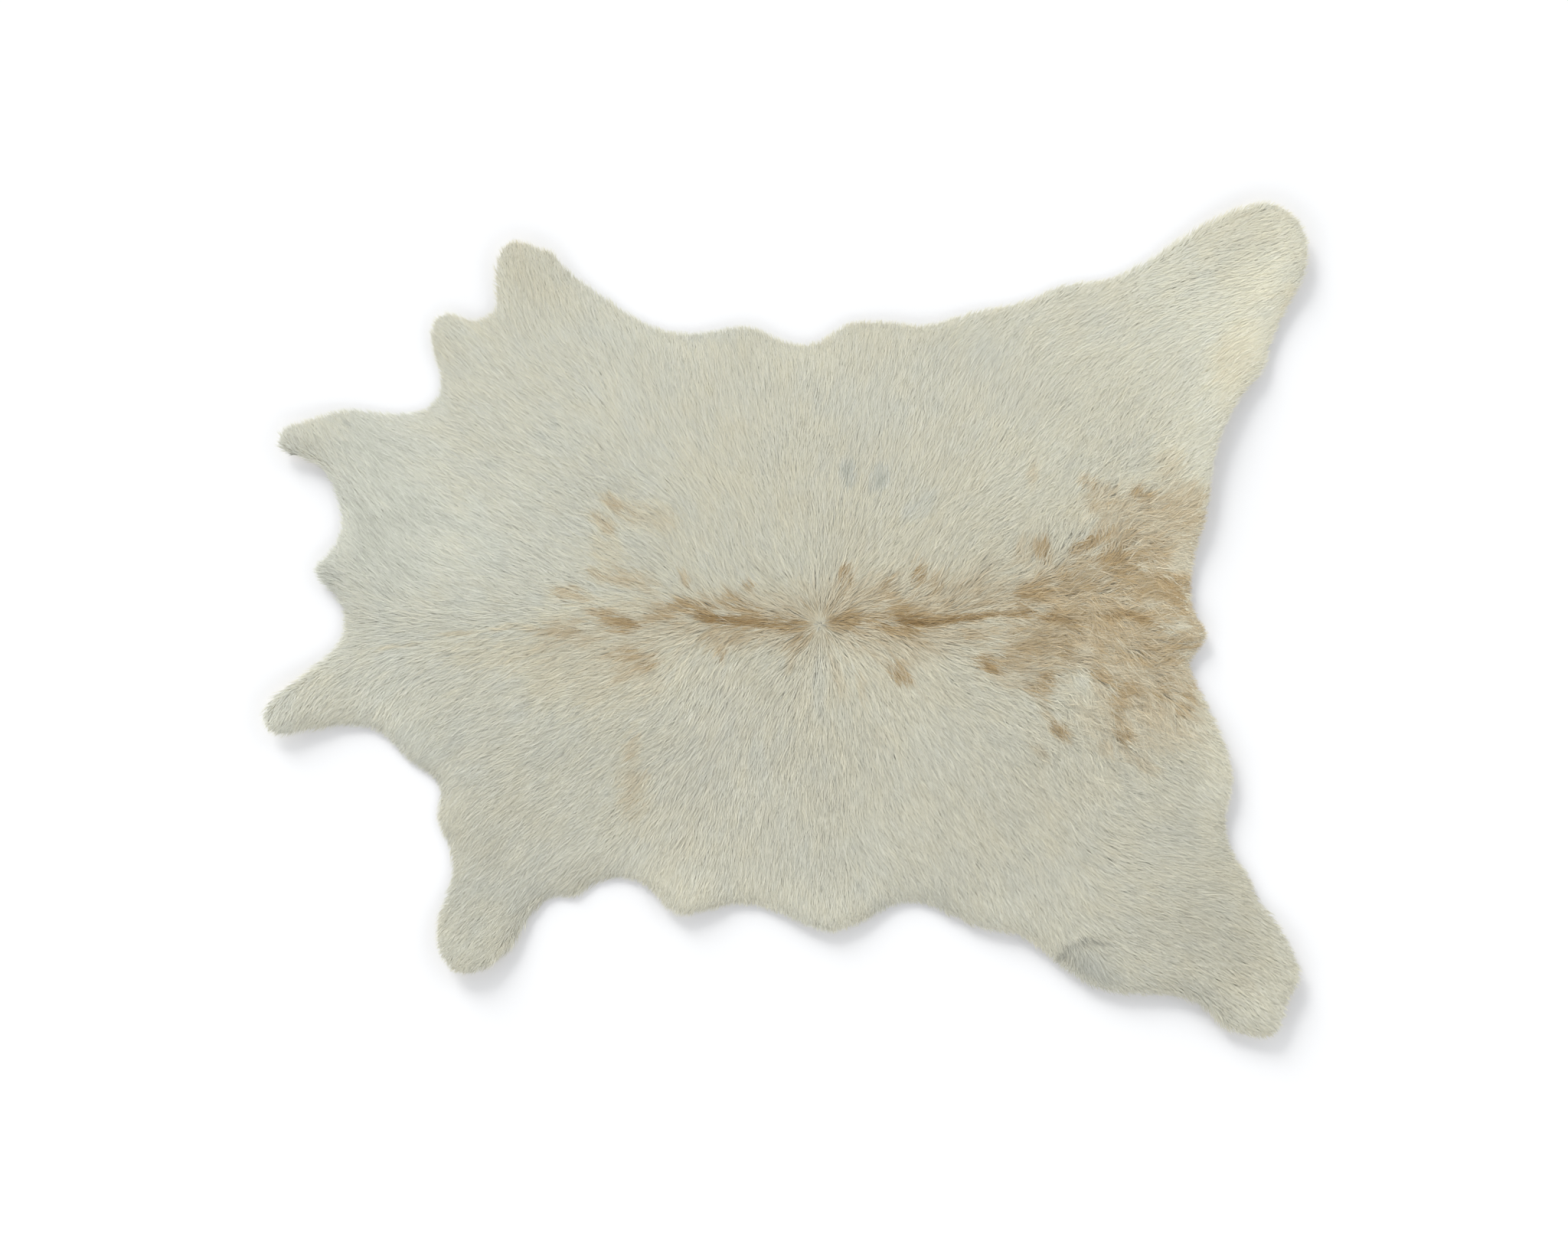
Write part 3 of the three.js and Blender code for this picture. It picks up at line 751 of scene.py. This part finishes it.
def leather_mesh(hide, leather):
    """The tanned skin: the sheet's flesh side without its hair edge, thickened upwards."""
    skin = hide.mesh.copy()
    skin.verts.ensure_lookup_table()
    hair_edge = {skin.verts[vertex.index] for vertex in hide.rim}
    upper = [face for face in skin.faces if face.normal.z > 0 or hair_edge.intersection(face.verts)]
    bmesh.ops.delete(skin, geom=upper, context="FACES")
    bmesh.ops.subdivide_edges(skin, edges=skin.edges[:], cuts=1, use_grid_fill=True)
    for vertex in skin.verts:
        x, y = vertex.co.x / MM, vertex.co.y / MM
        inner = float(smooth((hide.at(hide.depth, vertex.co.x, vertex.co.y) / MM - 6) / 30))
        wave = 0.6 * noise(x, y, 38, 21) + 0.4 * noise(x, y, 17, 22)
        vertex.co.z += inner * leather.cockle * (0.5 + 0.5 * float(wave))
    lower = skin.faces[:]
    for face in lower:
        face.smooth = True
    copied = bmesh.ops.duplicate(skin, geom=skin.verts[:] + skin.edges[:] + lower)
    upper = [part for part in copied["geom"] if isinstance(part, bmesh.types.BMFace)]
    for vertex in (part for part in copied["geom"] if isinstance(part, bmesh.types.BMVert)):
        vertex.co.z += leather.thickness
    bmesh.ops.reverse_faces(skin, faces=upper)
    for face in upper:
        face.material_index = 1
    open_edges = [edge for edge in skin.edges if edge.is_boundary]
    bmesh.ops.bridge_loops(skin, edges=open_edges)
    bmesh.ops.recalc_face_normals(skin, faces=skin.faces[:])
    mesh = bpy.data.meshes.new("hide_leather")
    skin.to_mesh(mesh)
    skin.free()
    return mesh


def strand_roots(hide, coat, rng):
    """Roots of all the strands on the leather, evenly spread but not in rows."""
    step = coat.spacing
    low, high = CAD_BOX
    x, y = np.meshgrid(np.arange(low.x, high.x, step), np.arange(low.y, high.y, step), indexing="ij")
    x = (x + rng.uniform(-0.5, 0.5, x.shape) * step).ravel()
    y = (y + rng.uniform(-0.5, 0.5, y.shape) * step).ravel()
    depth = hide.at(hide.depth, x, y)
    kept = depth > BARE_EDGE
    return x[kept], y[kept]


def find_locks(x, y, flow_x, flow_y, size, rng):
    """Each strand's place across and along its lock, and three random numbers that the lock shares."""
    columns = int(SPAN / size) + 8
    middle_x = rng.uniform(0, 1, (columns, columns))
    middle_y = rng.uniform(0, 1, (columns, columns))
    shared = rng.uniform(0, 1, (3, columns, columns))
    from_x = x + SPAN / 2
    from_y = y + SPAN / 2
    cell_x = np.floor(from_x / size).astype(int) + CELLS
    cell_y = np.floor(from_y / size).astype(int) + CELLS
    # The best lock so far: its score, the strand's place across and along it, and its cell
    best = np.zeros((5, len(x)))
    best[0] = np.inf
    for i in range(-CELLS, CELLS + 1):
        for j in range(-CELLS, CELLS + 1):
            here_x = cell_x + i
            here_y = cell_y + j
            away_x = from_x - (here_x - CELLS + middle_x[here_x, here_y]) * size
            away_y = from_y - (here_y - CELLS + middle_y[here_x, here_y]) * size
            forward = away_x * flow_x + away_y * flow_y
            sideways = away_y * flow_x - away_x * flow_y
            score = (forward / LOCK_SHAPE) ** 2 + sideways ** 2
            found = np.stack([score, sideways, forward, here_x, here_y])
            best = np.where(score < best[0], found, best)
    column, row = best[3:].astype(int)
    return best[1], best[2], shared[:, column, row]


def coat_length(x, y):
    """Share of the back's hair length at points in millimetres: shorter on the legs and the neck."""
    legs = smooth((np.abs(y) - 230) / 150)
    neck = smooth((-x - 380) / 120)
    rump = np.exp(-((x - 350) ** 2 + y ** 2) / 120 ** 2)
    whorl = 1 - smooth(np.hypot(x - WHORL[0], y - WHORL[1]) / 16)
    return (1 - 0.30 * legs - 0.32 * neck + 0.10 * rump) * (1 - 0.6 * whorl)


def coat_shade(x, y, lock, streaks, rng):
    """Tone and light of each strand, at the places in millimetres where it shows."""
    tone = np.full(x.shape, BASE_TONE) + 0.03 * noise(x, y, 70, 31) + 0.04 * noise(x, y, 20, 32)
    light = np.full(x.shape, BASE_LIGHT) + 0.02 * noise(x, y, 45, 33)
    for shade in SHADES:
        reach = spot(x, y, shade)
        tone += shade.tone * reach
        light += shade.light * reach
    tone += 0.05 * (lock[0] - 0.5) + rng.normal(0, 0.025, x.shape)
    ragged = 0.4 * noise(x, y, 7, 34) + 0.45 * streaks + 0.5 * (lock[1] - 0.5)
    ragged = ragged + rng.normal(0, 0.18, x.shape)
    mixed = rng.uniform(0.62, 1.38, x.shape) * (1 + 0.15 * noise(x, y, 5, 35))
    for mark in MARKS:
        # Small marks have ragged edges, broad ones fade out softly
        edge = 1.04 + ragged * min(1, 22 / mark.across)
        covered = smooth((spot(x, y, mark) * edge - 0.16) / 0.66)
        share = np.clip(mixed * mark.depth * covered, 0, 1)
        tone += share * (mark.tone + rng.normal(0, 0.04, x.shape) - tone)
    return np.clip(tone, 0, 1), light


class Strands:
    """The coat's strands, grown in this order: roots and locks, paths, blades, then tone and light."""

    BEND = 0.42  # where a strand bends, as a share of its length
    BEND_DRAWN_IN = 0.25  # how far the bend is drawn towards the middle line of its lock
    TIP_DRAWN_IN = 0.40  # the same for the tip, so that locks end in points
    SEEN = 0.35  # where a strand shows most, as a share of the way from its bend to its tip
    ROUND = 1.3  # how much a blade's light is evened out upwards, against 1 for its own face
    LEATHER_TOP = 1.75 * MM  # from the flesh side up to the roots

    def __init__(self, hide, coat):
        """Spreads the roots and gathers them in locks."""
        self.hide = hide
        self.coat = coat
        self.rng = np.random.default_rng(coat.seed)
        self.x, self.y = strand_roots(hide, coat, self.rng)
        self.depth = hide.at(hide.depth, self.x, self.y)
        flow_x, flow_y = hide.flow(self.x, self.y)
        self.across, self.along, self.lock = find_locks(
            self.x, self.y, flow_x, flow_y, coat.lock, self.rng)
        self.curl = placed(CURLS, self.x / MM, self.y / MM)
        whorl_x = self.x / MM - WHORL[0]
        whorl_y = self.y / MM - WHORL[1]
        self.by_whorl = 1 - smooth(np.hypot(whorl_x, whorl_y) / 30)
        # The dark point in the middle of the whorl, 6 by 4 mm
        self.eye = np.exp(-(whorl_x / 3) ** 2 - (whorl_y / 2) ** 2)
        # Near the edge the strands turn out over it
        self.turn = 0.75 * smooth((14 * MM - self.depth) / (10 * MM))
        out_x, out_y = self.outward(self.x, self.y)
        self.turn *= 1 - smooth(flow_x * out_x + flow_y * out_y)

    def outward(self, x, y):
        """The way out to the nearest edge at any points, along x and y."""
        return self.hide.at(self.hide.out_x, x, y), self.hide.at(self.hide.out_y, x, y)

    def step(self, x, y, swing):
        """The way the strands lie at any points, swung by an angle each."""
        step_x, step_y = self.hide.flow(x, y)
        out_x, out_y = self.outward(x, y)
        heading = np.arctan2(step_y + self.turn * out_y, step_x + self.turn * out_x) + swing
        return np.cos(heading), np.sin(heading)

    def lay(self):
        """Lays a path for each strand, seen from above: its root, its bend and its tip."""
        x, y, across, lock, rng = self.x, self.y, self.across, self.lock, self.rng
        swing = np.radians((9 + 35 * self.curl) * (lock[2] - 0.5) + rng.normal(0, 5, x.shape))
        bend = np.radians(rng.normal(0, 9, x.shape) + (12 + 64 * self.curl) * (lock[1] - 0.5))
        length = self.coat.length * coat_length(x / MM, y / MM)
        length = length * (0.70 + 0.30 * lock[0] + 0.35 * rng.random(x.shape))
        length *= 1 - 0.8 * self.eye
        length = np.maximum(length - 0.5 * self.along, 0.4 * length)
        self.first = self.step(x, y, swing)
        first_x, first_y = self.first
        middle_x = x + self.BEND * length * first_x + self.BEND_DRAWN_IN * across * first_y
        middle_y = y + self.BEND * length * first_y - self.BEND_DRAWN_IN * across * first_x
        self.last = self.step(middle_x, middle_y, swing + bend)
        last_x, last_y = self.last
        rest = 1 - self.BEND
        tip_x = middle_x + rest * length * last_x + self.TIP_DRAWN_IN * across * last_y
        tip_y = middle_y + rest * length * last_y - self.TIP_DRAWN_IN * across * last_x

        # The locks end raggedly, from 1.5 mm inside the sheet's edge to 4 mm past it
        allowed = (1.6 - 5.4 * lock[0] ** 1.8 - 0.6 * rng.random(x.shape)) * MM
        for _ in range(3):
            tip_depth = self.hide.at(self.hide.depth, tip_x, tip_y)
            kept = (self.depth - allowed) / np.maximum(self.depth - tip_depth, 0.001 * MM)
            share = np.where(tip_depth < allowed, kept, 1)
            middle_x, middle_y = x + share * (middle_x - x), y + share * (middle_y - y)
            tip_x, tip_y = x + share * (tip_x - x), y + share * (tip_y - y)
        self.middle = (middle_x, middle_y)
        self.tip = (tip_x, tip_y)

    def height(self, x, y, level):
        """Heights in the coat at any points, from 0 on the skin to 1 at the sheet's upper face."""
        skin = self.hide.at(self.hide.under, x, y)
        leather = self.LEATHER_TOP * smooth(self.hide.at(self.hide.depth, x, y) / (5 * MM))
        loft = np.maximum(self.hide.at(self.hide.top, x, y) - skin - leather, 0.2 * MM)
        return skin + leather + level * loft

    def blades(self):
        """Four points for each strand, its root, two sides and tip, and the way it faces the light."""
        lock, rng = self.lock, self.rng
        loft = rng.random(self.x.shape)
        root_z = self.height(self.x, self.y, 0.04)
        middle_z = self.height(*self.middle, 0.42 + 0.14 * lock[0] + 0.26 * loft)
        tip_z = self.height(*self.tip, 0.54 + 0.18 * lock[0] + 0.28 * loft)

        half = 0.5 * self.coat.width * (0.75 + 0.5 * rng.random(self.x.shape))
        half = half * (1 - 0.25 * self.by_whorl) * (1 + 1.8 * self.eye)
        roll = np.radians(rng.normal(0, 14, self.x.shape))
        side_x = -(self.first[1] + self.last[1])
        side_y = self.first[0] + self.last[0]
        size = np.hypot(side_x, side_y) + 1e-9
        level = np.cos(roll)
        side = np.stack([side_x / size * level, side_y / size * level, np.sin(roll)], axis=1)
        side = side * half[:, None]
        root = np.stack([self.x, self.y, root_z], axis=1)
        middle = np.stack([*self.middle, middle_z], axis=1)
        tip = np.stack([*self.tip, tip_z], axis=1)
        points = np.stack([root, middle - side, middle + side, tip], axis=1)
        points[:, :, 2] = np.maximum(points[:, :, 2], 0.2 * MM)

        # A strand stands for many round hairs, so it takes the light more evenly than a flat blade does
        flat = np.cross(middle - root, side)
        flat /= np.linalg.norm(flat, axis=1, keepdims=True) + 1e-12
        lit = flat + np.array([0, 0, self.ROUND]) * (1 + 2 * self.by_whorl[:, None])
        return points, lit / np.linalg.norm(lit, axis=1, keepdims=True)

    def shades(self):
        """Tone and light at each strand's four points."""
        seen_x = (self.middle[0] + self.SEEN * (self.tip[0] - self.middle[0])) / MM
        seen_y = (self.middle[1] + self.SEEN * (self.tip[1] - self.middle[1])) / MM
        thin = drawn_out(seen_x, seen_y, *self.last, 1.0, 41)
        wide = drawn_out(seen_x, seen_y, *self.last, 2.4, 42)
        tone, light = coat_shade(seen_x, seen_y, self.lock, wide, self.rng)
        # Painted light and shade in streaks along the strands and locks, showing most where the coat
        # curls, along the back and low on the hide
        back = smooth((220 - np.abs(self.y) / MM) / 120)
        low = smooth((40 - self.y / MM) / 100)
        lively = (0.65 + 0.9 * self.curl + 0.3 * back + 0.1 * low) * (1 - 0.7 * self.by_whorl)
        lively = lively * (1 - placed(SLEEK, self.x / MM, self.y / MM))
        # Where the edge falls away from the key light the hair shows its shaded side
        out_x, out_y = self.outward(self.x, self.y)
        away = 0.14 * np.clip(-out_y, 0, 1) + 0.03 * np.clip(out_x, 0, 1)
        light = light - away * smooth((38 * MM - self.depth) / (32 * MM))
        spread = self.rng.normal(0, 0.06, self.x.shape)
        light = light + lively * (0.045 * thin + 0.015 * wide + 0.04 * (self.lock[1] - 0.5) + spread)
        # Painted shade in the thin dark gaps between the locks
        light -= 0.08 * lively * smooth((-thin - 0.55) / 0.3)
        # Painted shade where the edge curls down: the coat darker within 9 mm of it
        light -= 0.07 * smooth((9 * MM - self.depth) / (7 * MM))
        tone = tone + 0.02 * wide - 0.25 * self.eye
        tones = tone[:, None] + TONE_ALONG
        lights = light[:, None] + LIGHT_ALONG * (1 - 0.85 * self.by_whorl[:, None])
        lights -= self.eye[:, None] * EYE_ALONG
        return np.clip(tones, 0, 1), np.clip(lights, 0, 1)


def strand_mesh(name, points, tones, lights, normals):
    """One mesh of many strands, two triangles each."""
    count = len(points)
    mesh = bpy.data.meshes.new(name)
    mesh.vertices.add(count * 4)
    mesh.vertices.foreach_set("co", points.astype(np.float32).ravel())
    corners = (np.arange(count)[:, None] * 4 + np.array([0, 1, 2, 1, 3, 2])).ravel()
    mesh.loops.add(count * 6)
    mesh.loops.foreach_set("vertex_index", corners.astype(np.int32))
    mesh.polygons.add(count * 2)
    mesh.polygons.foreach_set("loop_start", np.arange(0, count * 6, 3, dtype=np.int32))
    mesh.polygons.foreach_set("loop_total", np.full(count * 2, 3, dtype=np.int32))
    mesh.update(calc_edges=True)
    mesh.shade_smooth()
    mesh.normals_split_custom_set_from_vertices(np.repeat(normals, 4, axis=0))
    # Each point's tone and its painted light and shade, kept as a colour and as the bake map
    shade = np.stack([tones, lights, np.zeros_like(tones), np.ones_like(tones)], axis=2).reshape(-1, 4)
    layer = mesh.attributes.new("strand_tone_and_painted_light", "FLOAT_COLOR", "POINT")
    layer.data.foreach_set("color", shade.astype(np.float32).ravel())
    lookup = mesh.uv_layers.new(name="OFBake")
    lookup.data.foreach_set("uv", shade[corners, :2].astype(np.float32).ravel())
    return mesh


class RUG_OT_lay_leather(bpy.types.Operator):
    """Makes the tanned skin in place of the CAD sheet"""

    bl_idname = "rug.lay_leather"
    bl_label = "Lay the leather"

    def execute(self, context):
        leather = context.scene.hide_rug.leather
        mesh = leather_mesh(hide_map(), leather)
        mesh.materials.append(shaved_flesh_material(leather))
        mesh.materials.append(pored_skin_material(leather))
        made = link_object("hide_leather", mesh)
        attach(made, "root")
        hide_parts(SHEET)
        return {"FINISHED"}


class RUG_OT_grow_coat(bpy.types.Operator):
    """Makes the brushed coat, in five pieces from the neck to the rump"""

    bl_idname = "rug.grow_coat"
    bl_label = "Grow the coat"

    def execute(self, context):
        coat = context.scene.hide_rug.coat
        strands = Strands(hide_map(), coat)
        strands.lay()
        points, normals = strands.blades()
        tones, lights = strands.shades()
        material = brushed_hair_material(coat)
        bounds = np.quantile(points[:, 0, 0], np.linspace(0, 1, len(COAT_PIECES) + 1))
        piece = np.clip(np.searchsorted(bounds, points[:, 0, 0]) - 1, 0, len(COAT_PIECES) - 1)
        for number, name in enumerate(COAT_PIECES):
            chosen = piece == number
            if 2 * chosen.sum() > MOST_TRIANGLES:
                raise RuntimeError(f"{name} has {2 * chosen.sum()} triangles")
            mesh = strand_mesh(name, points[chosen], tones[chosen], lights[chosen], normals[chosen])
            mesh.materials.append(material)
            made = link_object(name, mesh)
            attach(made, "root")
        return {"FINISHED"}


class RUG_OT_set_stage(bpy.types.Operator):
    """Makes the floor, the light and the camera"""

    bl_idname = "rug.set_stage"
    bl_label = "Set the stage"

    def execute(self, context):
        scene = context.scene
        stage = scene.hide_rug.stage
        mesh = bpy.data.meshes.new("studio_floor")
        mesh.from_pydata([(-6, -6, 0), (6, -6, 0), (6, 6, 0), (-6, 6, 0)], [], [(0, 1, 2, 3)])
        mesh.materials.append(plain_floor_material())
        link_object("studio_floor", mesh)

        camera = bpy.data.cameras.new("camera")
        camera.sensor_fit = "HORIZONTAL"
        camera.sensor_width = 36
        camera.lens = camera.sensor_width * stage.height / stage.field
        camera.clip_end = 50
        holder = link_object("camera", camera)
        holder.location = (stage.middle[0], stage.middle[1], stage.height)
        scene.camera = holder

        lamp = bpy.data.lights.new("key_light", "SUN")
        lamp.energy = stage.key
        lamp.angle = math.radians(27)
        lamp.color = (1.0, 0.995, 0.985)
        # A sun's place gives only the direction that its light comes from
        key = link_object("key_light", lamp)
        key.location = (-2.4, 4.4, 1.2)
        key.rotation_euler = Vector(-key.location).to_track_quat("-Z", "Y").to_euler()

        world = bpy.data.worlds.new("studio_air")
        world.use_nodes = True
        tree = world.node_tree
        # A low ring of pale walls all round is brighter than the ceiling, so shadows spread softly
        place = add_node(tree, "ShaderNodeTexCoord")
        parts = add_node(tree, "ShaderNodeSeparateXYZ", {"Vector": place.outputs["Generated"]})
        fall = add_node(tree, "ShaderNodeMapRange", {
            "Value": parts.outputs["Z"], "From Min": 0.25, "From Max": 0.6,
            "To Min": stage.walls, "To Max": stage.ceiling}, interpolation_type="SMOOTHSTEP")
        air = tree.nodes["Background"]
        air.inputs["Color"].default_value = (0.995, 0.995, 1.0, 1)
        tree.links.new(fall.outputs["Result"], air.inputs["Strength"])
        scene.world = world
        scene.view_settings.view_transform = "Standard"
        return {"FINISHED"}


class RUG_PT_hide(bpy.types.Panel):
    """The rug's settings and steps"""

    bl_label = "Hide rug"
    bl_idname = "RUG_PT_hide"
    bl_space_type = "VIEW_3D"
    bl_region_type = "UI"
    bl_category = "Hide rug"

    def draw(self, context):
        rug = context.scene.hide_rug
        steps = (
            (rug.stage, RUG_OT_set_stage),
            (rug.leather, RUG_OT_lay_leather),
            (rug.coat, RUG_OT_grow_coat),
        )
        for group, step in steps:
            box = self.layout.box()
            for name in group.__annotations__:
                box.prop(group, name)
            box.operator(step.bl_idname)


CLASSES = (
    LeatherSettings, CoatSettings, StageSettings, HideRugSettings,
    RUG_OT_set_stage, RUG_OT_lay_leather, RUG_OT_grow_coat, RUG_PT_hide,
)


def register():
    """Adds the classes and the scene's settings."""
    for cls in CLASSES:
        bpy.utils.register_class(cls)
    bpy.types.Scene.hide_rug = PointerProperty(type=HideRugSettings)


def unregister():
    """Takes them away again."""
    del bpy.types.Scene.hide_rug
    for cls in reversed(CLASSES):
        bpy.utils.unregister_class(cls)


def main():
    """Makes the whole scene."""
    register()
    bpy.ops.rug.set_stage()
    bpy.ops.rug.lay_leather()
    bpy.ops.rug.grow_coat()


if __name__ == "__main__":
    main()
